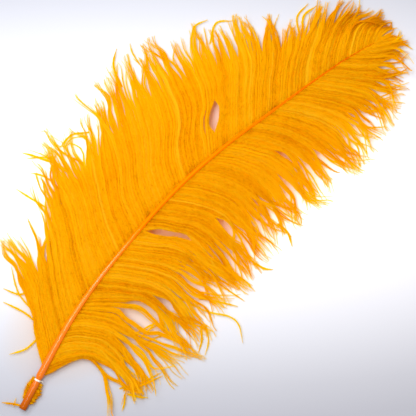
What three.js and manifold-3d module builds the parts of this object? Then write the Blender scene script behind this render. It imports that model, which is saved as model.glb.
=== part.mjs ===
import * as THREE from 'three';
import { mergeVertices } from 'three/addons/utils/BufferGeometryUtils.js';
import Module from 'manifold-3d';

// An ostrich wing plume, dyed orange, lying on a table with its upper side up.
// The stem and its two vanes grew as one piece. A white thread is tied round the quill.
//
// Millimetres, Z up. A place on the plume is [along, across]: the distance from the cut end
// of the quill towards the tip, and the distance to the right of it, seen with the tip ahead.

// The stem, from the quill's cut end to the tip: along, across, height of its middle, diameter.
const STEM = [
  [0, -2, 4.1, 8],
  [50, -18, 6.3, 7.8],
  [100, -33, 10.5, 6.4],
  [150, -43, 15.5, 5],
  [200, -49, 19.5, 4.6],
  [250, -53.5, 21.5, 4.4],
  [300, -54.3, 21.5, 4.2],
  [350, -50.8, 19.5, 3.6],
  [400, -44, 16, 2.9],
  [450, -37, 11.5, 2.2],
  [500, -28.6, 7.5, 1.8],
  [538, -18.5, 5, 1.4],
];
const STEM_SIDES = 8;

// The thread pulls the quill in where it is tied.
const TIE_ALONG = 33;
const TIE_WAIST = 5.8;
const TIE_WAIST_LENGTH = 4;
const THREAD_WIDTH = 1.8;
const THREAD_GAP = 0.3;
const THREAD_SIDES = 6;
const THREAD_STEPS = 16;

// Barbs cut short leave a fuzzy fringe on both sides of the quill, below the thread: distance
// along the plume, and half width.
const FRINGE = [
  [9, 6],
  [12, 8.5],
  [28, 8.5],
  [30, 6],
];
const FRINGE_THICKNESS = 4;

// Single barbs that stray out of the vanes, each from a place inside a lock to its tip.
const STRAYS = [
  [[200, 30], [211, 60], [224, 80], [225, 94], [215, 110]],
  [[312, -172], [321, -194], [336, -205]],
  [[204, -166], [194, -186], [188, -196]],
  [[90, -86], [81, -92], [74, -107]],
];
const STRAY_WIDTH = 2.4;
const STRAY_THICKNESS = 1.6;
const STRAY_STEPS = 6;
const STRAY_TIP_SHARE = 0.4;

// The locks of the left vane, from the quill to the tip. Each one leaves the stem at its
// first number, along the stem, then passes through two places and ends in the third.
const LEFT_LOCKS = [
  [46, [62, -45], [80, -72], [104, -138]],
  [60, [84, -60], [104, -92], [119, -146]],
  [78, [100, -65], [122, -96], [152, -117]],
  [98, [120, -70], [143, -102], [172, -148]],
  [122, [142, -76], [166, -112], [192, -170]],
  [146, [164, -80], [187, -120], [209, -182]],
  [168, [184, -84], [205, -122], [225, -188]],
  [192, [206, -84], [228, -120], [266, -172]],
  [218, [232, -88], [255, -118], [290, -186]],
  [243, [258, -88], [283, -120], [319, -192]],
  [268, [284, -86], [312, -118], [346, -188]],
  [296, [314, -84], [343, -112], [367, -186]],
  [322, [344, -80], [371, -110], [393, -172]],
  [348, [372, -78], [399, -106], [424, -154]],
  [373, [398, -74], [424, -98], [446, -142]],
  [398, [423, -68], [447, -88], [470, -120]],
  [423, [447, -62], [469, -76], [494, -92]],
  [447, [469, -56], [492, -68], [526, -92]],
  [470, [491, -50], [514, -60], [548, -70]],
  [493, [511, -42], [532, -50], [557, -47]],
  [514, [528, -34], [542, -39], [562, -34]],
  [533, [542, -24], [552, -26], [564, -24]],
];

// The locks of the right vane, in the same way.
const RIGHT_LOCKS = [
  [42, [65, -6], [84, 4], [91, 22], [91, 42], [84, 72]],
  [62, [85, -10], [101, 16], [99, 74]],
  [80, [99, -12], [114, 18], [107, 77]],
  [96, [114, -14], [127, 14], [133, 82]],
  [111, [126, -16], [139, 12], [148, 95]],
  [126, [154, -14], [173, 14], [168, 84]],
  [144, [167, -14], [184, 18], [184, 80]],
  [159, [181, -16], [197, 18], [197, 82]],
  [175, [194, -22], [209, 8], [214, 76]],
  [193, [211, -26], [229, 0], [238, 56]],
  [211, [228, -30], [244, -4], [247, 78]],
  [230, [247, -28], [262, 4], [262, 74]],
  [250, [267, -30], [281, 0], [277, 70]],
  [269, [286, -32], [300, 2], [296, 64]],
  [289, [306, -32], [318, 2], [312, 60]],
  [309, [325, -32], [336, 2], [329, 62]],
  [328, [345, -30], [356, 4], [347, 64]],
  [346, [362, -28], [376, 4], [374, 62]],
  [364, [381, -26], [394, 6], [393, 62]],
  [382, [399, -24], [411, 10], [414, 66]],
  [401, [417, -20], [430, 14], [432, 68]],
  [420, [437, -18], [453, 14], [460, 62]],
  [440, [458, -15], [474, 12], [482, 52]],
  [460, [478, -13], [495, 12], [508, 50]],
  [480, [498, -12], [514, 6], [531, 31]],
  [500, [515, -13], [530, 0], [549, 17]],
  [517, [530, -14], [543, -5], [561, 5]],
  [532, [543, -15], [553, -11], [564, -9]],
];

// Beside the stem the barbs lie close together, as one sheet on either side: distance along
// the plume, and half width.
const SHEET = [
  [48, 3],
  [80, 8],
  [200, 9],
  [420, 8],
  [538, 4],
];
const SHEET_THICKNESS = 2.8;

// A lock is a flattened blade. Its blades overlap near the stem and part towards their ends.
const LOCK_RINGS = [0, 0.16, 0.32, 0.48, 0.66, 0.86, 1];
const LOCK_SIDES = 4;
const LOCK_OVERLAP = [0.6, 1.4, 1.4, 1.4, 1.35, 1.1, 0.3];
const LOCK_THICKNESS = [3.4, 4.6, 5.4, 5.4, 4.8, 3.6, 1.2];
const LOCK_LEAST_SPACING = 3;
const LOCK_WIDTH_LIMIT = 20;

// It droops from the stem and lies on the table for its last part, some locks higher than others.
const LOCK_DROOP = 1.6;
const LOCK_LANDING = 0.88;
const LANDED_HEIGHT = 0.6;
const LANDED_LIFT = 1.6;
const LANDED_CHANGE = 2.4;

const DYED_VANE = new THREE.MeshStandardMaterial({ color: 0xfd9c03, roughness: 0.75, metalness: 0 });
const WHITE_THREAD = new THREE.MeshStandardMaterial({ color: 0xf1ebe0, roughness: 0.85, metalness: 0 });

const FACET_TOLERANCE = 0.12;
const WELD_DISTANCE = 1e-4;

const UP = new THREE.Vector3(0, 0, 1);

const wasm = await Module();
wasm.setup();

// A place on the plume and a height, as a point.
function point(along, across, height) {
  return new THREE.Vector3(across, along, height);
}

// The value at x on a line of straight steps through pairs of x and value.
function interpolate(pairs, x) {
  const next = Math.max(1, pairs.findIndex(([at]) => at >= x));
  const [x0, v0] = pairs[next - 1];
  const [x1, v1] = pairs[next];
  return THREE.MathUtils.mapLinear(x, x0, x1, v0, v1);
}

const stemCurve = new THREE.CatmullRomCurve3(
  STEM.map(([along, across, height]) => point(along, across, height)),
);
const stemShares = STEM.map(([along], index) => [along, index / (STEM.length - 1)]);
const stemDiameters = STEM.map(([along, , , diameter]) => [along, diameter]);

// The point of the stem's middle line at a distance along the plume.
function stemPoint(along) {
  return stemCurve.getPoint(interpolate(stemShares, along));
}

function stemDiameter(along) {
  const grown = interpolate(stemDiameters, along);
  const fromTie = Math.abs(along - TIE_ALONG) / TIE_WAIST_LENGTH;
  return THREE.MathUtils.lerp(TIE_WAIST, grown, Math.min(1, fromTie));
}

// A closed body through rings, each with a centre, a half width across the path and a half
// thickness. It starts as a cylinder whose rows of points are moved on to the rings.
function sweep(rings, sides) {
  const body = new THREE.CylinderGeometry(1, 1, 1, sides, rings.length - 1);
  const places = body.attributes.position;
  const frames = rings.map((ring, index) => {
    const before = rings[Math.max(0, index - 1)].centre;
    const after = rings[Math.min(rings.length - 1, index + 1)].centre;
    const ahead = after.clone().sub(before).normalize();
    const across = ahead.clone().cross(UP).normalize();
    return { across, up: across.clone().cross(ahead) };
  });
  for (let i = 0; i < places.count; i += 1) {
    const row = Math.round((0.5 - places.getY(i)) * (rings.length - 1));
    const { centre, halfWidth, halfThickness } = rings[row];
    const spot = centre.clone()
      .addScaledVector(frames[row].across, places.getZ(i) * halfWidth)
      .addScaledVector(frames[row].up, places.getX(i) * halfThickness);
    places.setXYZ(i, spot.x, spot.y, spot.z);
  }
  return body;
}

function toSolid(geometry) {
  const bare = geometry.clone();
  bare.deleteAttribute('normal');
  bare.deleteAttribute('uv');
  const merged = mergeVertices(bare, WELD_DISTANCE);
  return new wasm.Manifold(new wasm.Mesh({
    numProp: 3,
    vertProperties: new Float32Array(merged.attributes.position.array),
    triVerts: new Uint32Array(merged.index.array),
  }));
}

function toGeometry(solid) {
  const mesh = solid.getMesh();
  const geometry = new THREE.BufferGeometry();
  geometry.setAttribute('position', new THREE.BufferAttribute(new Float32Array(mesh.vertProperties), 3));
  geometry.setIndex(new THREE.BufferAttribute(new Uint32Array(mesh.triVerts), 1));
  geometry.computeVertexNormals();
  return geometry;
}

function makeStem() {
  const waist = [TIE_ALONG - TIE_WAIST_LENGTH, TIE_ALONG, TIE_ALONG + TIE_WAIST_LENGTH];
  const stations = [...STEM.map(([along]) => along), ...waist].sort((a, b) => a - b);
  const rings = stations.map((along) => ({
    centre: stemPoint(along),
    halfWidth: stemDiameter(along) / 2,
    halfThickness: stemDiameter(along) / 2,
  }));
  return sweep(rings, STEM_SIDES);
}

function makeFringe() {
  const rings = FRINGE.map(([along, halfWidth]) => ({
    centre: stemPoint(along),
    halfWidth,
    halfThickness: FRINGE_THICKNESS / 2,
  }));
  return sweep(rings, LOCK_SIDES);
}

function makeSheet() {
  const start = SHEET[0][0];
  const stations = STEM.map(([along]) => along).filter((along) => along > start);
  const rings = [start, ...stations].map((along) => ({
    centre: stemPoint(along),
    halfWidth: interpolate(SHEET, along),
    halfThickness: SHEET_THICKNESS / 2,
  }));
  return sweep(rings, LOCK_SIDES);
}

// The middle line of a lock, seen from above, with its height.
function lockCurve([root, ...places], index) {
  const start = stemPoint(root);
  const landed = LANDED_HEIGHT + LANDED_LIFT * Math.sin(LANDED_CHANGE * index) ** 2;
  const passed = places.map(([along, across]) => point(along, across, 0));
  const flat = new THREE.CatmullRomCurve3([start, ...passed]);
  return LOCK_RINGS.map((t) => {
    const spot = flat.getPoint(t);
    spot.z = THREE.MathUtils.lerp(start.z, landed, Math.min(1, t / LOCK_LANDING) ** LOCK_DROOP);
    return spot;
  });
}

// Locks halfway between two traced ones fill the vane.
function between(lock, next) {
  const middle = (a, b) => (a + b) / 2;
  const places = [1, 2, 3].map((i) => [middle(lock[i][0], next[i][0]), middle(lock[i][1], next[i][1])]);
  return [middle(lock[0], next[0]), ...places];
}

function withLocksBetween(traced) {
  return traced.flatMap((lock, index) => (
    index + 1 < traced.length ? [lock, between(lock, traced[index + 1])] : [lock]
  ));
}

function makeVane(locks) {
  const curves = locks.map(lockCurve);
  return curves.map((curve, index) => {
    const before = curves[Math.max(0, index - 1)];
    const after = curves[Math.min(curves.length - 1, index + 1)];
    const sides = before === curve || after === curve ? 1 : 2;
    const rings = curve.map((centre, row) => {
      const ahead = curve[Math.min(row + 1, curve.length - 1)].clone().sub(curve[Math.max(row - 1, 0)]);
      const across = ahead.cross(UP).normalize();
      const spacing = Math.abs(after[row].clone().sub(before[row]).dot(across)) / sides;
      const full = Math.max(LOCK_LEAST_SPACING, spacing) * LOCK_OVERLAP[row];
      const width = Math.min(LOCK_WIDTH_LIMIT, full);
      return { centre, halfWidth: width / 2, halfThickness: LOCK_THICKNESS[row] / 2 };
    });
    return sweep(rings, LOCK_SIDES);
  });
}

function makeStray(places) {
  const curve = new THREE.CatmullRomCurve3(
    places.map(([along, across]) => point(along, across, LANDED_HEIGHT)),
  );
  const rings = curve.getPoints(STRAY_STEPS).map((centre, row) => {
    const taper = THREE.MathUtils.lerp(1, STRAY_TIP_SHARE, row / STRAY_STEPS);
    return {
      centre,
      halfWidth: taper * STRAY_WIDTH / 2,
      halfThickness: taper * STRAY_THICKNESS / 2,
    };
  });
  return sweep(rings, LOCK_SIDES);
}

function makePlume() {
  const pieces = [
    makeStem(),
    makeFringe(),
    makeSheet(),
    ...STRAYS.map(makeStray),
    ...makeVane(withLocksBetween(LEFT_LOCKS)),
    ...makeVane(RIGHT_LOCKS),
  ];
  const joined = wasm.Manifold.union(pieces.map(toSolid));
  const resting = joined.trimByPlane([0, 0, 1], 0).asOriginal().simplify(FACET_TOLERANCE);

  // Its outer skin alone is kept, so that small pockets between crossing locks are solid.
  const [outer] = resting.decompose().sort((a, b) => b.volume() - a.volume());
  return toGeometry(outer);
}

function makeThreadTie() {
  const radius = TIE_WAIST / 2 + THREAD_GAP + THREAD_WIDTH / 2;
  const ring = new THREE.TorusGeometry(radius, THREAD_WIDTH / 2, THREAD_SIDES, THREAD_STEPS);
  const ahead = stemPoint(TIE_ALONG + 1).sub(stemPoint(TIE_ALONG - 1)).normalize();
  ring.applyQuaternion(new THREE.Quaternion().setFromUnitVectors(UP, ahead));
  const place = stemPoint(TIE_ALONG);
  ring.translate(place.x, place.y, place.z);
  return ring;
}

const plume = new THREE.Mesh(makePlume(), DYED_VANE);
plume.name = 'plume';

const threadTie = new THREE.Mesh(makeThreadTie(), WHITE_THREAD);
threadTie.name = 'thread_tie';

// The middle of the plume, seen from above, is the origin.
const middle = new THREE.Box3().setFromObject(plume).getCenter(new THREE.Vector3());

const feather = new THREE.Group();
feather.add(plume, threadTie);
feather.position.set(-middle.x, -middle.y, 0);

export default feather;
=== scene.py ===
import math

import bpy
import numpy as np
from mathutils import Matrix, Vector


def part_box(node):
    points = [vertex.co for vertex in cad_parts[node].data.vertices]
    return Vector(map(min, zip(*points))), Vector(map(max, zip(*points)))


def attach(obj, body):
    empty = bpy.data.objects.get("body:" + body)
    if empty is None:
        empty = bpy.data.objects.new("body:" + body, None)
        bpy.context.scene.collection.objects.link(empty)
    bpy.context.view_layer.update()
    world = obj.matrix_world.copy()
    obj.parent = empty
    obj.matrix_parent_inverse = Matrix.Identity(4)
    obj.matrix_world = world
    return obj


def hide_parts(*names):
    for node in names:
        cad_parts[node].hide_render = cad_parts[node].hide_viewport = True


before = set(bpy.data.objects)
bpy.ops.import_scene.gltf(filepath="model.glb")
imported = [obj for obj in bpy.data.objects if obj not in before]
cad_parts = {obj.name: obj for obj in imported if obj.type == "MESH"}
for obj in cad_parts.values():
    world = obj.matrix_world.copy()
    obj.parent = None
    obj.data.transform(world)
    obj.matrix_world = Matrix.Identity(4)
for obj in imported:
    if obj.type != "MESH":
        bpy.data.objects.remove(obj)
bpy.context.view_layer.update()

# An ostrich wing plume, dyed orange, lying on a white table with its upper side up.
# Lengths are in millimetres, as on the real feather, and become metres as each mesh is made.
# A place on the plume is (along, across): the distance from the quill's cut end towards the
# tip, and the distance to the right of it, seen with the tip ahead.
MM = 0.001
UP = np.array([0.0, 0.0, 1.0])
dice = np.random.default_rng(22)
shade_dice = np.random.default_rng(5)

# The stem, from the quill's cut end to the tip: along, across, height of its middle, diameter.
STEM = np.array([
    (0, -2, 4.1, 8),
    (50, -18, 6.3, 7.8),
    (100, -33, 10.5, 6.4),
    (150, -43, 15.5, 5),
    (200, -49, 19.5, 4.6),
    (250, -53.5, 21.5, 4.4),
    (300, -54.3, 21.5, 4.2),
    (350, -50.8, 19.5, 3.6),
    (400, -44, 16, 2.9),
    (450, -37, 11.5, 2.2),
    (500, -28.6, 7.5, 1.8),
    (538, -18.5, 5, 1.4),
])

# The thread pulls the quill in where it is tied.
TIE_ALONG = 33
TIE_WAIST = 5.8
TIE_WAIST_LENGTH = 4

# Steps along a smooth curve between two of its places, and points of a lock's middle line and
# of the stem's.
SPAN_STEPS = 12
GUIDE_POINTS = 48
STEM_POINTS = 400

# The locks of the left vane, from the quill to the tip. Each leaves the stem at its first
# number, along the stem, and passes through the places that follow.
LEFT_LOCKS = [
    (46, (62, -45), (80, -72), (104, -138)),
    (60, (84, -60), (104, -92), (119, -146)),
    (78, (100, -65), (122, -96), (152, -117)),
    (98, (120, -70), (143, -102), (172, -148)),
    (122, (142, -76), (166, -112), (192, -170)),
    (146, (164, -80), (187, -120), (209, -182)),
    (168, (184, -84), (205, -122), (225, -188)),
    (192, (206, -84), (228, -120), (266, -172)),
    (218, (232, -88), (255, -118), (290, -186)),
    (243, (258, -88), (283, -120), (319, -192)),
    (268, (284, -86), (312, -118), (346, -188)),
    (296, (314, -84), (343, -112), (367, -186)),
    (322, (344, -80), (371, -110), (393, -172)),
    (348, (372, -78), (399, -106), (424, -154)),
    (373, (398, -74), (424, -98), (446, -142)),
    (398, (423, -68), (447, -88), (470, -120)),
    (423, (447, -62), (469, -76), (494, -92)),
    (447, (469, -56), (492, -68), (526, -92)),
    (470, (491, -50), (514, -60), (548, -70)),
    (493, (511, -42), (532, -50), (557, -47)),
    (514, (528, -34), (542, -39), (562, -34)),
    (533, (542, -24), (552, -26), (564, -24)),
    (538, (545, -20), (553, -19), (563, -16)),
]

# The locks of the right vane, in the same way.
RIGHT_LOCKS = [
    (37, (48, -9), (64, -5), (79, 0), (88, 14), (89, 36), (82, 62)),
    (42, (65, -6), (84, 4), (91, 22), (91, 42), (84, 72)),
    (62, (85, -10), (101, 16), (99, 74)),
    (80, (99, -12), (114, 18), (107, 77)),
    (96, (114, -14), (127, 14), (133, 82)),
    (111, (126, -16), (139, 12), (148, 95)),
    (126, (154, -14), (173, 14), (168, 84)),
    (144, (167, -14), (184, 18), (184, 80)),
    (159, (181, -16), (197, 18), (197, 82)),
    (175, (194, -22), (209, 8), (214, 76)),
    (193, (211, -26), (229, 0), (238, 56)),
    (211, (228, -30), (244, -4), (247, 78)),
    (230, (247, -28), (262, 4), (262, 74)),
    (250, (267, -30), (281, 0), (277, 70)),
    (269, (286, -32), (300, 2), (296, 64)),
    (289, (306, -32), (318, 2), (312, 60)),
    (309, (325, -32), (336, 2), (329, 62)),
    (328, (345, -30), (356, 4), (347, 64)),
    (346, (362, -28), (376, 4), (374, 62)),
    (364, (381, -26), (394, 6), (393, 62)),
    (382, (399, -24), (411, 10), (414, 66)),
    (401, (417, -20), (430, 14), (432, 68)),
    (420, (437, -18), (453, 14), (460, 62)),
    (440, (458, -15), (474, 12), (482, 52)),
    (460, (478, -13), (495, 12), (508, 50)),
    (480, (498, -12), (514, 6), (531, 31)),
    (500, (515, -13), (530, 0), (549, 17)),
    (517, (530, -14), (543, -5), (561, 5)),
    (532, (543, -15), (553, -11), (564, -9)),
    (538, (545, -18), (554, -16), (564, -15)),
]

# Where the vanes have parted and the table shows through: place of the parting along the stem,
# where it opens and closes as shares of the barb's length, and how far it pushes the barbs
# aside, measured along the stem.
LEFT_PARTINGS = [
    (181, 0.70, 1.00, 5),
    (334, 0.14, 0.44, 7.5),
]
RIGHT_PARTINGS = [
    (119, 0.28, 0.68, 4.2),
    (184, 0.56, 0.82, 6),
    (221, 0.02, 0.44, 5),
    (257, 0.42, 0.78, 4),
    (355, 0.34, 0.60, 2.5),
    (430, 0.55, 0.75, 3),
    (490, 0.55, 0.90, 3),
]

# Where the barbs part in strands: place along the stem, and share of the barb's length.
LEFT_OPENS = [(46, 0.72), (150, 0.76), (220, 0.8), (538, 0.8)]
RIGHT_OPENS = [(37, 0.5), (110, 0.42), (210, 0.48), (260, 0.64), (538, 0.7)]

# Single barbs that stray out of the vanes, each from a place inside a lock to its tip.
STRAYS = [
    ((200, 30), (211, 60), (224, 80), (225, 94), (215, 110)),
    ((196, 66), (186, 78), (174, 85)),
    ((200, 70), (190, 84), (177, 92)),
    ((214, 44), (222, 54), (238, 79)),
    ((240, 46), (244, 66), (247, 80)),
    ((260, 52), (262, 66), (262, 80)),
    ((282, 56), (286, 70), (292, 77)),
    ((329, 46), (330, 60), (323, 74)),
    ((136, 22), (147, 26), (158, 29), (166, 31)),
    ((138, 32), (150, 31), (160, 33), (168, 36)),
    ((140, 40), (150, 41), (163, 48), (172, 52)),
    ((90, 64), (97, 75), (103, 82)),
    ((88, 62), (82, 68), (74, 73)),
    ((88, 54), (110, 66), (133, 73)),
    ((90, 58), (108, 68), (130, 76)),
    ((312, -172), (321, -194), (336, -205)),
    ((342, -176), (345, -190), (350, -199)),
    ((204, -166), (194, -186), (188, -196)),
    ((206, -168), (200, -178), (187, -188)),
    ((190, -152), (186, -165), (180, -174)),
    ((166, -136), (160, -160), (157, -173)),
    ((90, -86), (81, -92), (74, -107)),
    ((74, -56), (72, -74), (64, -97)),
    ((80, -64), (82, -92), (96, -118)),
    ((62, -44), (46, -45), (30, -53)),
    ((392, -150), (410, -164), (426, -160)),
    ((410, -140), (430, -151), (445, -140)),
    ((440, -104), (452, -120), (452, -132)),
    ((462, -96), (470, -112), (470, -122)),
    ((484, -80), (496, -96), (514, -98)),
    ((488, -80), (502, -92), (519, -90)),
    ((250, -160), (236, -170), (222, -168)),
    ((254, -162), (238, -173), (220, -172)),
]

# The barbs: how far apart they leave the stem, and how wide they are with their fluff. Real
# ones are finer and closer.
BARB_SPACING = 0.72
ROOT_SCATTER = 0.15
BARB_WIDE = 1.8
BARB_FINE = 0.45
BARB_NARROWS = (0.7, 1)
BARB_FOLD = 0.4
BARB_POINTS = 28
CLUMPS = (0.8, 1.15)
OWN_WIDTH = (0.7, 1.3)

# Many are a little short of their lock's end, and strands and tufts end together.
END_SHORTER = 0.14
END_LIMITS = (0.6, 1.03)

# A value that varies by chance has three spreads: a barb's own, its strand's and its tuft's.
END_VARIES = (0, 0.035, 0.035)
WAVE_START = (0.5, 0, 2)
SWAY = (1.2, 5, 2.5)
FAR_SWAY = (2, 13, 0)
CURL_START = (0.2, 3, 0)
CURL = (0.3, 3, 0)
HOOK = (1.5, 6, 0)
LAYERS = (0.4, 0.5, 0.4)
TINT = (0.1, 0.12, 0.06)

# Neighbours cling to each other: a few in each strand, more in each tuft and each lock. Each is
# drawn towards the middle of its bundle, more so past the place where the barbs part.
STRAND_OF = (3, 6)
TUFT_OF = (6, 12)
LOCK_OF = (16, 28)
STRAND_PULL = 0.14
STRAND_END_PULL = 0.62
TUFT_END_PULL = 0.35
LOCK_END_PULL = 0.15
OPENS_OVER = 0.25

# A parting pushes less on barbs further from it, and some strands still cross it.
PARTING_RIM = 0.12
PARTING_REACH = 1.6
CROSSING_STRANDS = 0.14
CROSSING_MOVED = 0.15

# How barbs bend, in millimetres sideways. The right vane is looser than the left.
LEFT_LOOSENESS = 0.9
RIGHT_LOOSENESS = 1.4
ROOT_HOLD = 4
WAVE_LENGTH = 26
WAVE_AT_STEM = 0.15
WAVE_GROWTH = 0.4
FAR_STRANDS = 0.12
CURL_PACE = (0.3, 0.6)
HOOK_FROM = 0.7
LOOSE_FROM = 0.8
LOOSE_GROWTH = 1.4

# Painted shade: towards the tip the barbs' outer parts are painted a browner, darker gold for the
# shade that falls there: from one place along the stem to another, and from one share of a barb's
# length to another.
PAINTED_SHADE_ALONG = (400, 500)
PAINTED_SHADE_SHARE = (0.3, 0.75)
LEFT_PAINTED_SHADE = 0.42
RIGHT_PAINTED_SHADE = 0.22

# The barbs are darker at their roots, up to a share of their length.
ROOT_SHADE = 0.34
DEEP_ROOT = (0.012, 0.05)

# They arch from the stem down to the table and lie on it for their last part. Some strands lift
# at their ends, and the middle barb of a strand lies over its neighbours.
DROOP = 1.6
LANDING = 0.88
LANDED_HEIGHT = 0.8
LANDED_LAYERS = 2.2
LANDED_OWN = 1.2
LEAST_HEIGHT = 0.4
BELLY_SHAPE = 0.7
CORD_HEIGHT = 0.6
CORD_ENDS = (0.3, 0.9)
HALF_STRAND = 2.5
LIFTED_STRANDS = 0.3
LIFT = (1, 10)
LIFT_SHAPE = 5

# The fluff on each barb: fine barbules, which cross their neighbours near the stem and lie
# closer along it towards its end. Real ones are several times finer and closer together.
BARBULE_SPACING = 0.62
BARBULE_UNEVEN = 0.002
BARBULE_LIMITS = (0.01, 0.995)
BARBULE_WIDTH = 0.34
BARBULE_LENGTH = 4.2
BARBULE_LEAST = 0.55
BARBULE_MORE = 0.7
BARBULE_TAPER = 6
BARBULE_AT_TIP = 0.35
BARBULE_SPREAD = (0.2, 1)
BARBULE_CLOSING = 0.45
BARBULE_CLOSES = (0.4, 0.8)
BARBULE_ROLL = 0.75
BARBULE_TINT = 0.42
TABLE_GAP = 0.05

# Each barb has a column in its piece's map: where the three lines of its shaft and the three
# points of each of its barbules lie in that column.
SHAFT_IN_MAP = (0.05, 0.3, 0.6)
BARBULE_IN_MAP = (0.65, 0.8, 0.95)
BARBULE_UP_IN_MAP = (-0.01, 0.01, 0.0)
MAP_MARGIN = 0.02

# The vanes are made in pieces, each under the limit of triangles.
LEFT_PIECES = 4
RIGHT_PIECES = 3

# Stray barbs: their lowest and their rise over the table, how much of an arch they make, and
# the middle and spread of their tint.
STRAY_HEIGHT = 1.2
STRAY_RISE = 2.5
STRAY_ARCH = 2.4
STRAY_TINT = (0.5, 0.1)

# The stem's rings along it, its ridge and groove, and the hollow in its cut end as (depth,
# share of the outside).
STEM_SIDES = 16
STEM_RINGS = [
    (0, 8, 5),
    (8, TIE_ALONG - 5, 8),
    (TIE_ALONG - 5, TIE_ALONG + 5, 13),
    (TIE_ALONG + 5, STEM[-1, 0], 90),
]
RIDGE_GROWS = (60, 160)
GROOVE_WIDTH = 0.45
GROOVE_DEPTH = 0.45
FLAT_BELOW = 0.12
BORE = [(6, 0.66), (0, 0.72)]

# Lines in the horn: some 30 round the stem, about half a millimetre apart, which run on for
# about 19 mm. The real ones are finer, but wouldn't show.
LINES_AROUND = 4.8
LINE_RUN = 18.75

# Barbs cut short on both sides of the quill, and a few longer ones left at its cut end.
FRINGE_COUNT = 260
FRINGE_ALONG = (9, 31)
FRINGE_MIDDLE = 20
FRINGE_HALF = 14
FRINGE_REACH = (3, 6.5)
FRINGE_END_SHORTER = 0.5
FRINGE_INSIDE = 0.8
FRINGE_LEAN = (-0.2, 0.8)
FRINGE_WAVE = 0.3
FRINGE_WAVE_TURN = 9
FRINGE_DROP = 1.5
FRINGE_DROP_SPREAD = 1.1
FRINGE_TINT = (0.2, 0.2)
FRINGE_BARBULE_LENGTH = 3.36
CUT_END_TIPS = [(-11, -22), (-8, -17), (3, -15), (-5, -10)]
CUT_END_BARBS = [((2, -4), (-2, -11), tip) for tip in CUT_END_TIPS]
CUT_END_HEIGHT = 2.5
CUT_END_RISE = 1.5

# The thread: three plies twisted together, and four turns round the quill's waist, pressed
# close and a little uneven.
THREAD_TURNS = 4
TURN_POINTS = 28
THREAD_WIDTH = 0.55
THREAD_SIDES = 10
THREAD_PLIES = 3
PLY_BULGE = 0.16
TWIST_STEP = 0.55
TURNS_PRESSED = 0.85
TURNS_SUNK = 0.45
TURNS_UNEVEN = 0.1
UNEVEN_PACE = 0.7

# The knot's middle and its reach each way, and the loose ends: ahead, past the waist and up.
KNOT_MIDDLE = (0, -0.8, 0.6)
KNOT_REACH = (0.7, 0.9, 0.35)
KNOT_POINTS = 40
LEFT_END = [(0, 0.2, 0), (0.8, 1.8, 0), (0.2, 3.2, 0)]
RIGHT_END = [(0, 0.2, 0), (-0.6, 1.6, -1.2), (0, 2.6, -2.6)]
LOOSE_END_POINTS = 14

# Finishes. The dye's patches have mottling in them down to a fraction of a millimetre. Cotton's
# fuzz is really a tenth as coarse, too fine to show.
KERATIN_IOR = 1.54
SHINE_COLOUR = "#ff9000"
LIGHT_THROUGH = 0.68
DYE_PATCH = 22.222
COTTON_FUZZ = 0.4

# What the eye sees of the photograph's table, with the plume turned on it.
VIEW_ALONG = 288
VIEW_ACROSS = -17.3
VIEW_WIDTH = 439.2
VIEW_TURN = math.radians(45.76)
CAMERA_HEIGHT = 2600
TABLE_REACH = 3

# The brightest part of the table's painted pool of light, and how far it reaches across the view
# and up it, in metres.
POOL_MIDDLE = (VIEW_ALONG + 23, VIEW_ACROSS - 14, 0)
POOL_REACH = (1.6, 0.58, 1)

# Where the painted warm glow of the plume's colour lies on the table, and how far it reaches across
# the plume and along it, in metres.
GLOW_MIDDLE = (285, -35, 0)
GLOW_REACH = (0.1, 0.27, 1)

# Soft boxes: how far they are to the photograph's left, to its top and up, their width and
# height, all in metres, and their power in watts.
SOFTBOXES = [
    ("window_light", (0.75, 0.75, 1.1), (1.3, 0.4), 14.5),
    ("overhead_light", (0.4, 0.25, 1.65), (1.4, 0.5), 22),
]
DAYLIGHT = "#ebf4ff"
ROOM_COLOUR = "#fff2e6"
ROOM_STRENGTH = 0.76


# Colours and shader nodes

def from_hex(code, alpha=1.0):
    """A colour written as sRGB hex, as the linear values that the shaders take."""
    parts = [int(code[i:i + 2], 16) / 255 for i in (1, 3, 5)]
    linear = [c / 12.92 if c <= 0.04045 else ((c + 0.055) / 1.055) ** 2.4 for c in parts]
    return (*linear, alpha)


def add_node(tree, kind, links=(), stops=(), values=(), **settings):
    """Adds a node. A setting is an input's name or a property's, links are (input, output).

    stops are the (place, hex) of a colour ramp, and values are (input, number) for inputs that
    have only a number or share their name.
    """
    node = tree.nodes.new(kind)
    for name, value in settings.items():
        if hasattr(node, name) and name not in node.inputs:
            setattr(node, name, value)
        else:
            node.inputs[name.replace("_", " ")].default_value = value
    for number, value in values:
        node.inputs[number].default_value = value
    for name, output in links:
        tree.links.new(output, node.inputs[name])
    for _ in stops[2:]:
        node.color_ramp.elements.new(0.5)
    for element, (place, code) in zip(node.color_ramp.elements if stops else (), stops):
        element.position = place
        element.color = from_hex(code)
    return node


def new_material(name):
    material = bpy.data.materials.new(name)
    material.use_nodes = True
    material.node_tree.nodes.clear()
    return material, material.node_tree


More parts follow.
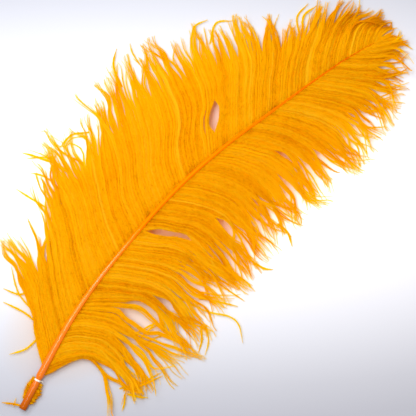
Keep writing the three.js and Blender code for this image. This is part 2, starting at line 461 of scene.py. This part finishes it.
def dyed_ostrich_barbs():
    """Keratin barbs soaked in an orange acid dye: matt, soft, and bright where light comes through.

    Each barb took the dye a little differently, and whole patches are a shade deeper.
    """
    material, tree = new_material("dyed_ostrich_barbs")
    # barb_tint also carries painted shade: the barbs' outer parts are darker towards the tip.
    tint = add_node(tree, "ShaderNodeAttribute", attribute_name="barb_tint")
    place = add_node(tree, "ShaderNodeTexCoord").outputs["Object"]
    patches = add_node(
        tree, "ShaderNodeTexNoise", [("Vector", place)],
        Scale=1 / (DYE_PATCH * MM), Detail=7, Roughness=0.85,
    )
    both = add_node(
        tree, "ShaderNodeMath", [(0, patches.outputs["Fac"]), (1, tint.outputs["Fac"])],
        operation="ADD",
    )
    shade = add_node(
        tree, "ShaderNodeMath", [(0, both.outputs[0])], values=[(1, 0.5)], operation="MULTIPLY",
    )
    colour = add_node(
        tree, "ShaderNodeValToRGB", [("Fac", shade.outputs[0])],
        [(0.0, "#b46a00"), (0.24, "#f2aa00"), (0.42, "#ffd000"), (0.58, "#ffd80a"),
         (0.8, "#ffe22c")],
    ).outputs["Color"]
    surface = add_node(
        tree, "ShaderNodeBsdfPrincipled", [("Base Color", colour)], Roughness=0.62, IOR=KERATIN_IOR,
        Specular_IOR_Level=0.15, Specular_Tint=from_hex(SHINE_COLOUR),
    )
    through = add_node(tree, "ShaderNodeBsdfTranslucent", [("Color", colour)])
    mixed = add_node(
        tree, "ShaderNodeMixShader",
        [(1, surface.outputs["BSDF"]), (2, through.outputs["BSDF"])], Fac=LIGHT_THROUGH,
    )
    add_node(tree, "ShaderNodeOutputMaterial", [("Surface", mixed.outputs["Shader"])])
    return material


def dyed_horn_stem():
    """Keratin horn of the stem, dyed orange: smooth, with a soft gloss and fine lines along it.

    The dye is a red orange, browner on the quill's cut end. The bare horn near the quill shines,
    and further on it is dull with the barbs' roots.
    """
    material, tree = new_material("dyed_horn_stem")
    share = add_node(tree, "ShaderNodeAttribute", attribute_name="stem_share").outputs["Fac"]
    colour = add_node(
        tree, "ShaderNodeValToRGB", [("Fac", share)],
        [(0.0, "#a04a00"), (0.06, "#d06600"), (0.2, "#fc7c00"), (0.6, "#fa7a00"), (1.0, "#c85800")],
    ).outputs["Color"]
    bare = add_node(
        tree, "ShaderNodeValToRGB", [("Fac", share)],
        [(0.0, "#5c5c5c"), (0.08, "#d9d9d9"), (0.3, "#d9d9d9"), (0.42, "#000000")],
    ).outputs["Color"]
    place = add_node(tree, "ShaderNodeAttribute", attribute_name="stem_place").outputs["Vector"]
    lines = add_node(tree, "ShaderNodeTexNoise", [("Vector", place)], Scale=1, Detail=3)
    relief = add_node(
        tree, "ShaderNodeBump", [("Height", lines.outputs["Fac"])], Strength=0.1, Distance=0.0002,
    )
    surface = add_node(
        tree, "ShaderNodeBsdfPrincipled",
        [("Base Color", colour), ("Normal", relief.outputs["Normal"]), ("Coat Weight", bare)],
        Roughness=0.55, IOR=KERATIN_IOR, Specular_IOR_Level=0.03,
        Specular_Tint=from_hex(SHINE_COLOUR), Coat_Roughness=0.12, Coat_IOR=KERATIN_IOR,
    )
    add_node(tree, "ShaderNodeOutputMaterial", [("Surface", surface.outputs["BSDF"])])
    return material


def cotton_thread():
    """White twisted cotton sewing thread: matt, off-white, with a fuzz of broken fibres."""
    material, tree = new_material("cotton_thread")
    place = add_node(tree, "ShaderNodeTexCoord").outputs["Object"]
    fuzz = add_node(
        tree, "ShaderNodeTexNoise", [("Vector", place)], Scale=1 / (COTTON_FUZZ * MM), Detail=3,
    ).outputs["Fac"]
    colour = add_node(
        tree, "ShaderNodeValToRGB", [("Fac", fuzz)], [(0.3, "#d9d0bf"), (0.7, "#fbf7ee")],
    ).outputs["Color"]
    relief = add_node(
        tree, "ShaderNodeBump", [("Height", fuzz)], Strength=0.4, Distance=0.0001,
    )
    surface = add_node(
        tree, "ShaderNodeBsdfPrincipled",
        [("Base Color", colour), ("Normal", relief.outputs["Normal"])], Roughness=0.85, IOR=1.53,
    )
    add_node(tree, "ShaderNodeOutputMaterial", [("Surface", surface.outputs["BSDF"])])
    return material


def away_from(tree, middle, turn, reach):
    """How far a point of the table is from a middle, as a share of the reach each way."""
    place = add_node(tree, "ShaderNodeTexCoord").outputs["Object"]
    turned = add_node(
        tree, "ShaderNodeMapping", [("Vector", place)], vector_type="TEXTURE",
        Location=in_row_frame(middle), Rotation=(0, 0, turn), Scale=reach,
    ).outputs["Vector"]
    return add_node(
        tree, "ShaderNodeVectorMath", [(0, turned)], operation="LENGTH",
    ).outputs["Value"]


def white_table():
    """White matt laminate, with a painted pool of window light that fades towards the front and the
    back.

    Under the plume it is painted warm for the light that the dyed barbs throw on it.
    """
    material, tree = new_material("white_table")
    # Painted light: the pool of window light is painted into the table's colour, darker away from
    # its middle.
    painted_pool = add_node(
        tree, "ShaderNodeValToRGB", [("Fac", away_from(tree, POOL_MIDDLE, VIEW_TURN, POOL_REACH))],
        [(0.08, "#fbfbfc"), (0.16, "#e6e6ea"), (0.21, "#d6d6db"), (0.28, "#c6c7cd"),
         (0.37, "#afb0b7"), (0.43, "#a3a4ac"), (0.6, "#a8a9b0"), (0.9, "#d4d4d9")],
    ).outputs["Color"]
    # Painted light: a warm glow painted under the plume for the light its barbs throw on the table.
    painted_glow = add_node(
        tree, "ShaderNodeValToRGB", [("Fac", away_from(tree, GLOW_MIDDLE, 0, GLOW_REACH))],
        [(0.3, "#ffdcb2"), (0.5, "#ffe8d0"), (0.85, "#fff1e4"), (1.0, "#ffffff")],
    ).outputs["Color"]
    colour = add_node(
        tree, "ShaderNodeMix", [(6, painted_pool), (7, painted_glow)], values=[(0, 1.0)],
        data_type="RGBA", blend_type="MULTIPLY",
    ).outputs[2]
    surface = add_node(
        tree, "ShaderNodeBsdfPrincipled", [("Base Color", colour)], Roughness=0.8,
    )
    add_node(tree, "ShaderNodeOutputMaterial", [("Surface", surface.outputs["BSDF"])])
    return material


# Paths on the plume

def lengths(paths):
    """How far each point of each path is from the path's start."""
    step = np.linalg.norm(np.diff(paths, axis=-2), axis=-1)
    return np.concatenate([np.zeros_like(step[..., :1]), np.cumsum(step, axis=-1)], axis=-1)


def unit(vectors):
    return vectors / np.maximum(np.linalg.norm(vectors, axis=-1, keepdims=True), 1e-6)


def smooth_path(points, count):
    """A smooth curve through points, at count places spaced evenly along it."""
    points = np.asarray(points, float)
    ends = np.vstack([2 * points[0] - points[1], points, 2 * points[-1] - points[-2]])
    t = np.linspace(0, 1, SPAN_STEPS, endpoint=False)[:, None]
    fine = []
    for a, b, c, d in zip(ends, ends[1:], ends[2:], ends[3:]):
        fine.append(0.5 * (2 * b + (c - a) * t + (2 * a - 5 * b + 4 * c - d) * t ** 2
                           + (3 * b - a - 3 * c + d) * t ** 3))
    fine = np.vstack([*fine, points[-1:]])
    length = lengths(fine)
    places = np.linspace(0, length[-1], count)
    return np.stack([np.interp(places, length, column) for column in fine.T], axis=1)


STEM_FINE = smooth_path(STEM, STEM_POINTS)


def stem_at(along):
    """The stem's middle line at distances along the plume: along, across and height."""
    columns = [np.interp(along, STEM_FINE[:, 0], STEM_FINE[:, i]) for i in range(3)]
    return np.stack(columns, axis=-1)


def stem_diameter(along):
    grown = np.interp(along, STEM_FINE[:, 0], STEM_FINE[:, 3])
    share = np.minimum(1, np.abs(along - TIE_ALONG) / TIE_WAIST_LENGTH)
    return TIE_WAIST + (grown - TIE_WAIST) * share ** 2


def smooth_step(low, high, x):
    t = np.clip((x - low) / (high - low), 0, 1)
    return t * t * (3 - 2 * t)


def groups(count, low, high):
    """Gathers neighbouring barbs in bundles of low to high. Gives each barb its bundle's number."""
    sizes = dice.integers(low, high + 1, count)
    return np.repeat(np.arange(count), sizes)[:count]


def middle_of_groups(group, values):
    """For each barb, the mean of a value over its bundle."""
    total = np.bincount(group, values)
    number = np.bincount(group)
    return (total / np.maximum(number, 1))[group]


class Bundles:
    """The strand, the tuft and the lock that each barb of a vane belongs to, by number."""

    def __init__(self, count):
        self.count = count
        self.strand = groups(count, *STRAND_OF)
        self.tuft = groups(count, *TUFT_OF)
        self.lock = groups(count, *LOCK_OF)

    def vary(self, own, of_strand, of_tuft):
        """A chance value for each barb: a part of its own, of its strand's and its tuft's."""
        value = own * dice.normal(0, 1, self.count)
        value = value + of_strand * dice.normal(0, 1, self.count)[self.strand]
        return value + of_tuft * dice.normal(0, 1, self.count)[self.tuft]

    def strand_chance(self):
        """A chance value between 0 and 1 for each barb, the same for its whole strand."""
        return dice.random(self.count)[self.strand]


class Vane:
    """The barbs on one side of the stem, as curves in space."""

    def __init__(self, locks, partings, opens, looseness, painted_shade):
        self.roots = np.array([lock[0] for lock in locks], float)
        self.guides = np.array([
            smooth_path([stem_at(lock[0])[:2], *lock[1:]], GUIDE_POINTS) for lock in locks
        ])
        self.partings = partings
        self.opens = opens
        self.looseness = looseness
        self.painted_shade = painted_shade

    def place(self, root, share):
        """The place of a barb that leaves the stem at root, at a share of its length."""
        lock = np.interp(root, self.roots, np.arange(len(self.roots)))
        first = np.minimum(lock.astype(int), len(self.roots) - 2)
        mix = (lock - first)[..., None]
        spot = share * (GUIDE_POINTS - 1)
        low = np.minimum(spot.astype(int), GUIDE_POINTS - 2)
        rest = (spot - low)[..., None]

        def on(guide):
            return self.guides[guide, low] * (1 - rest) + self.guides[guide, low + 1] * rest

        return on(first) * (1 - mix) + on(first + 1) * mix

    def barbs(self):
        """All barbs: their points as along, across and height, and the tint at each point."""
        first, last = self.roots[0], self.roots[-1]
        count = int((last - first) / BARB_SPACING)
        root = np.linspace(first, last, count) + dice.normal(0, ROOT_SCATTER, count)
        root = np.clip(root, first, last)
        bundles = Bundles(count)
        end = 1 - END_SHORTER * dice.random(count) ** 2 + bundles.vary(*END_VARIES)
        share = np.linspace(0, 1, BARB_POINTS) * np.clip(end, *END_LIMITS)[:, None]
        opens = np.interp(root, *np.transpose(self.opens))[:, None]
        where = self.gather(root, share, opens, bundles)
        flat = self.lay_out(root, share, where)
        flat = self.bend(flat, share, opens, bundles)
        height = arch(root, share, bundles)
        tint = self.tint(root, share, bundles)
        return np.concatenate([flat, height[..., None]], axis=2), tint

    def gather(self, root, share, opens, bundles):
        """The place along the stem that each point of a barb keeps to.

        Barbs run side by side at the stem, then gather in strands that part at their ends.
        """
        where = np.repeat(root[:, None], BARB_POINTS, axis=1)
        parted = smooth_step(opens, opens + OPENS_OVER, share)
        clinging = dice.random(bundles.count)[bundles.tuft][:, None]
        for bundle, pull in (
            (bundles.strand, STRAND_PULL + STRAND_END_PULL * parted),
            (bundles.tuft, TUFT_END_PULL * parted * clinging),
            (bundles.lock, LOCK_END_PULL * parted),
        ):
            middle = middle_of_groups(bundle, root)[:, None]
            where = where + (middle - where) * pull
        crosses = bundles.strand_chance() < CROSSING_STRANDS
        moved = np.where(crosses, CROSSING_MOVED, 1.0)[:, None]
        for middle, first_share, last_share, push in self.partings:
            away = where - middle
            inside = smooth_step(first_share, first_share + PARTING_RIM, share)
            inside = inside * (1 - smooth_step(last_share - PARTING_RIM, last_share, share))
            fades = np.exp(-np.abs(away) / (PARTING_REACH * push))
            where = where + np.sign(away) * push * moved * inside * fades
        return np.clip(where, self.roots[0], self.roots[-1])

    def lay_out(self, root, share, where):
        """The barbs seen from above, each from its own place on the stem."""
        flat = self.place(where, share)
        on_stem = stem_at(root)[:, None, :2]
        return flat + (on_stem - flat[:, :1]) * (1 - share[..., None]) ** ROOT_HOLD

    def bend(self, flat, share, opens, bundles):
        """Each barb waves a little. Its strand sways and curls, and its end bends its own way."""
        ahead = unit(np.gradient(flat, axis=1))
        beside = np.stack([-ahead[..., 1], ahead[..., 0]], axis=-1)
        turn = 2 * np.pi * lengths(flat) / WAVE_LENGTH
        wave = np.sin(turn + bundles.vary(*WAVE_START)[:, None])
        wave = wave * (WAVE_AT_STEM + WAVE_GROWTH * share)
        sway = bundles.vary(*SWAY)
        goes_far = bundles.strand_chance() < FAR_STRANDS * self.looseness
        sway = sway + np.where(goes_far, bundles.vary(*FAR_SWAY), 0)
        pace = dice.uniform(*CURL_PACE, bundles.count)[bundles.strand][:, None]
        curl = np.sin(turn * pace + bundles.vary(*CURL_START)[:, None])
        hooked = np.clip((share - HOOK_FROM) / (1 - HOOK_FROM), 0, 1) ** 2
        hook = bundles.vary(*HOOK)[:, None] * hooked
        loose_from = LOOSE_FROM * opens
        loose = np.clip((share - loose_from) / (1 - loose_from), 0, 1) ** LOOSE_GROWTH
        aside = (sway[:, None] + bundles.vary(*CURL)[:, None] * curl) * loose + hook
        return flat + beside * (wave + self.looseness * aside)[..., None]

    def tint(self, root, share, bundles):
        """How light the barbs are at each point, about 0.5 on most: each barb's own tone, less
        painted shade on the outer parts towards the tip, and darker at the roots.
        """
        # Painted shade: the outer parts of the barbs towards the tip are darkened.
        shaded_ends = smooth_step(*PAINTED_SHADE_ALONG, root)[:, None] * smooth_step(*PAINTED_SHADE_SHARE, share)
        rooting = 1 - smooth_step(*DEEP_ROOT, share)
        own = 0.5 + bundles.vary(*TINT)[:, None]
        return own - self.painted_shade * shaded_ends - ROOT_SHADE * rooting


def arch(root, share, bundles):
    """Heights from the stem down to the table, in uneven layers, as seen from the side."""
    landed = (LANDED_HEIGHT + LANDED_LAYERS * bundles.strand_chance()
              + LANDED_OWN * dice.random(bundles.count))[:, None]
    rooted = stem_at(root)[:, 2:3]
    height = rooted + (landed - rooted) * np.minimum(1, share / LANDING) ** DROOP
    belly = np.sin(np.pi * np.clip(share, 0, 1)) ** BELLY_SHAPE
    aside = np.abs(root - middle_of_groups(bundles.strand, root)) / (HALF_STRAND * BARB_SPACING)
    cord = CORD_HEIGHT * (1 - 2 * aside)[:, None] * (1 - smooth_step(*CORD_ENDS, share))
    lifted = bundles.strand_chance() < LIFTED_STRANDS
    lift = np.where(lifted, dice.uniform(*LIFT, bundles.count)[bundles.strand], 0)[:, None]
    height = height + bundles.vary(*LAYERS)[:, None] * belly + cord + lift * share ** LIFT_SHAPE
    return np.maximum(height, LEAST_HEIGHT)


def stray_barbs():
    """Single barbs outside the vanes, low over the table, and their tint."""
    rise = STRAY_RISE * np.sin(np.linspace(0, STRAY_ARCH, BARB_POINTS))
    paths = np.array([
        np.column_stack([
            smooth_path(places, BARB_POINTS), STRAY_HEIGHT + rise * dice.random(),
        ]) for places in STRAYS
    ])
    return paths, own_tint(len(paths), *STRAY_TINT)


def own_tint(count, middle, spread):
    """A tint for each barb, the same from its root to its tip."""
    return middle + dice.normal(0, spread, (count, 1)) + np.zeros(BARB_POINTS)


# Meshes

tie_low, tie_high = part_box("thread_tie")
tie_middle = [(a + b) / 2 for a, b in zip(tie_low, tie_high)]
SHIFT_ACROSS = tie_middle[0] / MM - stem_at(TIE_ALONG)[1]
SHIFT_ALONG = tie_middle[1] / MM - stem_at(TIE_ALONG)[0]


def in_row_frame(points):
    """Millimetres along, across and up, as metres in the part's own frame."""
    points = np.asarray(points, float)
    return np.stack([
        (points[..., 1] + SHIFT_ACROSS) * MM,
        (points[..., 0] + SHIFT_ALONG) * MM,
        points[..., 2] * MM,
    ], axis=-1)


def add_mesh(name, points, faces, material, replaced, values=(), uvs=None):
    """A piece from points and a list of face arrays. values are (attribute, its values)."""
    corners = np.concatenate([f.ravel() for f in faces]).astype(np.int32)
    sizes = np.concatenate([np.full(len(f), f.shape[1]) for f in faces]).astype(np.int32)
    starts = np.concatenate([[0], np.cumsum(sizes)[:-1]]).astype(np.int32)
    mesh = bpy.data.meshes.new(name)
    mesh.vertices.add(len(points))
    mesh.vertices.foreach_set("co", in_row_frame(points).astype(np.float32).ravel())
    mesh.loops.add(len(corners))
    mesh.loops.foreach_set("vertex_index", corners)
    mesh.polygons.add(len(sizes))
    mesh.polygons.foreach_set("loop_start", starts)
    mesh.polygons.foreach_set("loop_total", sizes)
    mesh.polygons.foreach_set("use_smooth", np.full(len(sizes), True))
    for attribute, of_points in values:
        kind, field = ("FLOAT", "value") if of_points.ndim == 1 else ("FLOAT_VECTOR", "vector")
        layer = mesh.attributes.new(attribute, kind, "POINT")
        layer.data.foreach_set(field, of_points.astype(np.float32).ravel())
    if uvs is not None:
        uv_layer = mesh.uv_layers.new(name="OFBake")
        uv_layer.data.foreach_set("uv", uvs[corners].astype(np.float32).ravel())
    mesh.update()
    mesh.validate()
    mesh.materials.append(material)
    piece = bpy.data.objects.new(name, mesh)
    bpy.context.scene.collection.objects.link(piece)
    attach(piece, "root")
    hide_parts(replaced)
    return piece


def path_frames(paths):
    """Directions ahead, beside and over along a path, or a set of them."""
    ahead = unit(np.gradient(paths, axis=-2))
    beside = unit(np.cross(ahead, UP))
    return ahead, beside, np.cross(beside, ahead)


def ribbons(paths, half_width):
    """Folded ribbons along paths, as a barb is with its two rows of fluff: a ridge and two slopes.

    half_width has the shape (path, point).
    """
    count, steps = paths.shape[:2]
    _, beside, over = path_frames(paths)
    wide = half_width[:, :, None]
    points = np.stack([
        paths - beside * wide - over * wide * BARB_FOLD,
        paths + over * wide * BARB_FOLD,
        paths + beside * wide - over * wide * BARB_FOLD,
    ], axis=2)
    number = np.arange(count * steps * 3).reshape(count, steps, 3)
    a, b = number[:, :-1], number[:, 1:]
    slopes = [
        np.stack([a[..., i], a[..., i + 1], b[..., i + 1], b[..., i]], axis=-1).reshape(-1, 4)
        for i in (0, 1)
    ]
    return points.reshape(-1, 3), np.concatenate(slopes)


def barbule_places(paths):
    """The barb that each barbule grows from, and the share of its length. They grow in pairs."""
    owner, share = [], []
    for i, total in enumerate(lengths(paths)[:, -1]):
        number = max(2, int(total / BARBULE_SPACING))
        owner.append(np.full(number, i))
        share.append((np.arange(number) + dice.random(number)) / number)
    owner = np.repeat(np.concatenate(owner), 2)
    share = np.repeat(np.concatenate(share), 2)
    share = share + dice.normal(0, BARBULE_UNEVEN, len(share))
    return owner, np.clip(share, *BARBULE_LIMITS)


def barbules(paths, length):
    """Fine barbules on both sides of each barb, as slivers that start inside its shaft."""
    owner, share = barbule_places(paths)
    side = np.tile([1.0, -1.0], len(owner) // 2)
    spot = share * (BARB_POINTS - 1)
    low = np.minimum(spot.astype(int), BARB_POINTS - 2)
    rest = (spot - low)[:, None]
    base, forward, out, up = [
        values[owner, low] * (1 - rest) + values[owner, low + 1] * rest
        for values in (paths, *path_frames(paths))
    ]
    reach = length * (BARBULE_LEAST + BARBULE_MORE * dice.random(len(owner)))
    reach = reach * np.minimum(1, (1 - share) * BARBULE_TAPER + BARBULE_AT_TIP)
    spread = dice.uniform(*BARBULE_SPREAD, len(owner))
    spread = spread * (1 - BARBULE_CLOSING * smooth_step(*BARBULE_CLOSES, share))
    roll = dice.normal(0, BARBULE_ROLL, len(owner))
    direction = (
        forward * np.cos(spread)[:, None]
        + out * (side * np.sin(spread) * np.cos(roll))[:, None]
        + up * (np.sin(spread) * np.sin(roll))[:, None]
    )
    tip = base + direction * reach[:, None]
    tip[:, 2] = np.maximum(tip[:, 2], TABLE_GAP)
    half = forward * (BARBULE_WIDTH / 2)
    points = np.stack([base - half, base + half, tip], axis=1).reshape(-1, 3)
    faces = np.arange(len(points)).reshape(-1, 3)
    return points, faces, owner, share


def barb_map(count, owner, place):
    """Where each point of a piece of barbs lies in its map: each barb has a column of its own."""
    along_barb = np.linspace(0, 1, BARB_POINTS)
    shaft_owner = np.repeat(np.arange(count), BARB_POINTS * 3)
    shaft_place = np.tile(np.repeat(along_barb, 3), count)
    shaft_column = np.tile(SHAFT_IN_MAP, count * BARB_POINTS)
    fluff_owner = np.repeat(owner, 3)
    fluff_place = np.clip(np.repeat(place, 3) + np.tile(BARBULE_UP_IN_MAP, len(owner)), 0, 1)
    fluff_column = np.tile(BARBULE_IN_MAP, len(owner))
    across = np.concatenate([shaft_owner + shaft_column, fluff_owner + fluff_column]) / count
    up = np.concatenate([shaft_place, fluff_place])
    return np.column_stack([across, MAP_MARGIN + (1 - 2 * MAP_MARGIN) * up])


def add_barbs(name, paths, tint, material, barbule_length=BARBULE_LENGTH):
    """One piece of barbs with their fluff. tint has a value for each point of each path."""
    count = len(paths)
    share = np.linspace(0, 1, BARB_POINTS)
    radius = (BARB_WIDE + (BARB_FINE - BARB_WIDE) * smooth_step(*BARB_NARROWS, share)) / 2
    clumps = dice.uniform(*CLUMPS, (count, BARB_POINTS)) * dice.uniform(*OWN_WIDTH, (count, 1))
    shaft_points, shaft_faces = ribbons(paths, radius * clumps)
    fluff_points, fluff_faces, owner, place = barbules(paths, barbule_length)
    fluff_tint = tint[owner, (place * (BARB_POINTS - 1)).astype(int)]
    fluff_tint = fluff_tint + shade_dice.normal(0, BARBULE_TINT, len(owner))
    return add_mesh(
        name, np.concatenate([shaft_points, fluff_points]),
        [shaft_faces, fluff_faces + len(shaft_points)], material, "plume",
        [("barb_tint", np.concatenate([np.repeat(tint, 3), np.repeat(fluff_tint, 3)]))],
        barb_map(count, owner, place),
    )


def add_vane(side_name, vane, material, parts):
    """The vane's barbs as several pieces, from the quill to the tip."""
    paths, tint = vane.barbs()
    for number, chosen in enumerate(np.array_split(np.arange(len(paths)), parts), 1):
        add_barbs(f"{side_name}_vane_{number}", paths[chosen], tint[chosen], material)


def rings_along(middle, beside, over, radius, angles):
    """Rings of points round a path. radius has a value for each point of each ring."""
    out = beside[:, None] * (radius * np.cos(angles))[..., None]
    return middle[:, None] + out + over[:, None] * (radius * np.sin(angles))[..., None]


def tube_faces(number):
    """Walls and two ends for rings of points, from their numbers, of shape (ring, point)."""
    a, b = number[:-1], number[1:]
    walls = np.stack([a, np.roll(a, -1, 1), np.roll(b, -1, 1), b], axis=-1).reshape(-1, 4)
    return [walls, number[:1, ::-1], number[-1:]]


def add_stem(material):
    """The quill and stem: round below, a rounded ridge above, with a groove on the underside."""
    along = np.unique(np.concatenate([np.linspace(*span) for span in STEM_RINGS]))
    middle = stem_at(along)
    ahead, beside, over = path_frames(middle)
    angles = np.arange(STEM_SIDES) * 2 * np.pi / STEM_SIDES
    ridged = smooth_step(*RIDGE_GROWS, along)[:, None]
    groove = np.exp(-((angles - 1.5 * np.pi) / GROOVE_WIDTH) ** 2)
    flat_below = np.clip(-np.sin(angles), 0, 1)
    out = 1 - ridged * (GROOVE_DEPTH * groove + FLAT_BELOW * flat_below)
    outer = rings_along(middle, beside, over, (stem_diameter(along) / 2)[:, None] * out, angles)

    # The cut end is open: a rim, then the inside of the hollow quill, closed by its pith.
    inner = np.array([
        middle[0] + ahead[0] * depth + (outer[0] - middle[0]) * width for depth, width in BORE
    ])
    rings = np.concatenate([inner, outer])
    on_ring = np.concatenate([np.zeros(len(BORE)), along])
    share = np.repeat(on_ring / along[-1], STEM_SIDES)
    round_stem = np.tile(angles, len(rings))
    place = np.column_stack([
        LINES_AROUND * np.cos(round_stem), LINES_AROUND * np.sin(round_stem),
        share * along[-1] / LINE_RUN,
    ])
    number = np.arange(len(rings) * STEM_SIDES).reshape(-1, STEM_SIDES)
    return add_mesh(
        "stem", rings.reshape(-1, 3), tube_faces(number), material, "plume",
        [("stem_share", share), ("stem_place", place)],
    )


def fringe_barb():
    """One barb cut short, on either side of the quill."""
    along = dice.uniform(*FRINGE_ALONG)
    side = dice.choice([-1.0, 1.0])
    root = stem_at(along)
    from_middle = abs(along - FRINGE_MIDDLE) / FRINGE_HALF
    reach = dice.uniform(*FRINGE_REACH) * (1 - FRINGE_END_SHORTER * from_middle)
    lean = dice.uniform(*FRINGE_LEAN)
    drop = FRINGE_DROP - dice.normal(0, FRINGE_DROP_SPREAD)
    steps = np.linspace(0, 1, BARB_POINTS)
    start = stem_diameter(along) / 2 * FRINGE_INSIDE
    return np.column_stack([
        root[0] + lean * reach * steps + FRINGE_WAVE * np.sin(steps * FRINGE_WAVE_TURN),
        root[1] + side * (start + reach * steps),
        np.maximum(LEAST_HEIGHT, root[2] - drop * steps),
    ])


def add_fringe(material):
    """Barbs cut short along both sides of the quill, and a few left at its cut end."""
    paths = [fringe_barb() for _ in range(FRINGE_COUNT)]
    height = CUT_END_HEIGHT + CUT_END_RISE * np.sin(np.linspace(0, 3, BARB_POINTS))
    for places in CUT_END_BARBS:
        paths.append(np.column_stack([smooth_path(places, BARB_POINTS), height]))
    tint = own_tint(len(paths), *FRINGE_TINT)
    return add_barbs("quill_fringe", np.array(paths), tint, material, FRINGE_BARBULE_LENGTH)


def thread_paths():
    """The thread's coil in the quill's waist, its flat knot and its two short loose ends."""
    centre = stem_at(TIE_ALONG)
    near = stem_at(np.array([TIE_ALONG - 1.0, TIE_ALONG + 1.0]))
    ahead, beside, over = (directions[0] for directions in path_frames(near))
    waist = TIE_WAIST / 2

    def round_quill(forward, out, up):
        """Places from the tie's centre, in its own directions."""
        ways = ((forward, ahead), (out, beside), (up, over))
        return centre + sum(np.multiply.outer(by, way) for by, way in ways)

    def loose_end(places, side):
        forward, past, up = np.transpose(places)
        return smooth_path(round_quill(forward, side * (waist + past), up), LOOSE_END_POINTS)

    angle = np.linspace(0, THREAD_TURNS * 2 * np.pi, THREAD_TURNS * TURN_POINTS)
    radius = waist + THREAD_WIDTH * TURNS_SUNK + TURNS_UNEVEN * np.sin(angle * UNEVEN_PACE)
    wound = np.linspace(-0.5, 0.5, len(angle)) * THREAD_TURNS * THREAD_WIDTH * TURNS_PRESSED
    coil = round_quill(wound, radius * np.cos(angle), radius * np.sin(angle))
    angle = np.linspace(0, 4 * np.pi, KNOT_POINTS)
    knot = round_quill(
        KNOT_MIDDLE[0] + KNOT_REACH[0] * np.sin(angle),
        KNOT_MIDDLE[1] + KNOT_REACH[1] * np.cos(angle / 2),
        waist + KNOT_MIDDLE[2] + KNOT_REACH[2] * np.cos(angle),
    )
    return [coil, knot, loose_end(LEFT_END, -1), loose_end(RIGHT_END, 1)]


def add_thread(material):
    """Turns of twisted thread as tubes with a bulge for each ply, which winds as they go on."""
    points, faces = [], []
    first = 0
    angles = np.arange(THREAD_SIDES) * 2 * np.pi / THREAD_SIDES
    for path in thread_paths():
        path[:, 2] = np.maximum(path[:, 2], LEAST_HEIGHT)
        _, beside, over = path_frames(path)
        twist = np.linspace(0, len(path) * TWIST_STEP, len(path))[:, None]
        bulge = THREAD_WIDTH / 2 * (1 + PLY_BULGE * np.cos(THREAD_PLIES * (angles + twist)))
        points.append(rings_along(path, beside, over, bulge, angles).reshape(-1, 3))
        number = first + np.arange(len(path) * THREAD_SIDES).reshape(-1, THREAD_SIDES)
        faces += tube_faces(number)
        first += number.size
    return add_mesh(
        "thread_turns", np.concatenate(points), faces, material, "thread_tie",
    )


def build_feather():
    barb_finish = dyed_ostrich_barbs()
    left = Vane(LEFT_LOCKS, LEFT_PARTINGS, LEFT_OPENS, LEFT_LOOSENESS, LEFT_PAINTED_SHADE)
    add_vane("left", left, barb_finish, LEFT_PIECES)
    right = Vane(RIGHT_LOCKS, RIGHT_PARTINGS, RIGHT_OPENS, RIGHT_LOOSENESS, RIGHT_PAINTED_SHADE)
    add_vane("right", right, barb_finish, RIGHT_PIECES)
    paths, tint = stray_barbs()
    add_barbs("stray_barbs", paths, tint, barb_finish)
    add_fringe(barb_finish)
    add_stem(dyed_horn_stem())
    add_thread(cotton_thread())


# Table, light and camera

def add_table():
    corners = TABLE_REACH * np.array([(-1, -1, 0), (1, -1, 0), (1, 1, 0), (-1, 1, 0)])
    mesh = bpy.data.meshes.new("table")
    mesh.from_pydata(corners.tolist(), [], [(0, 1, 2, 3)])
    mesh.materials.append(white_table())
    table = bpy.data.objects.new("table", mesh)
    bpy.context.scene.collection.objects.link(table)


def add_softbox(name, place, aim, width, height, power):
    light = bpy.data.lights.new(name, "AREA")
    light.shape = "RECTANGLE"
    light.size = width
    light.size_y = height
    light.energy = power
    light.color = from_hex(DAYLIGHT)[:3]
    box = bpy.data.objects.new(name, light)
    box.location = place
    box.rotation_mode = "QUATERNION"
    box.rotation_quaternion = Vector(place - aim).to_track_quat("Z", "Y")
    bpy.context.scene.collection.objects.link(box)


def add_light():
    """Soft daylight from the photo's upper left, with a pale room all round."""
    middle = in_row_frame((VIEW_ALONG, VIEW_ACROSS, 0))
    left = np.array([-math.cos(VIEW_TURN), -math.sin(VIEW_TURN), 0])
    top = np.array([-math.sin(VIEW_TURN), math.cos(VIEW_TURN), 0])
    up = np.array([0, 0, 1])
    for name, (to_left, to_top, height), size, power in SOFTBOXES:
        place = middle + left * to_left + top * to_top + up * height
        add_softbox(name, place, middle, *size, power)
    world = bpy.data.worlds.new("pale_room")
    world.use_nodes = True
    room = world.node_tree.nodes["Background"].inputs
    room["Color"].default_value = from_hex(ROOM_COLOUR)
    room["Strength"].default_value = ROOM_STRENGTH
    bpy.context.scene.world = world


def add_camera():
    """Looks straight down on the table, turned as the photograph is."""
    camera = bpy.data.cameras.new("camera")
    camera.sensor_width = 36
    camera.lens = camera.sensor_width * CAMERA_HEIGHT / VIEW_WIDTH
    holder = bpy.data.objects.new("camera", camera)
    holder.location = in_row_frame((VIEW_ALONG, VIEW_ACROSS, CAMERA_HEIGHT))
    holder.rotation_euler = (0, 0, VIEW_TURN)
    bpy.context.scene.collection.objects.link(holder)
    bpy.context.scene.camera = holder
    bpy.context.scene.view_settings.view_transform = "Standard"


add_camera()
add_light()
add_table()
build_feather()
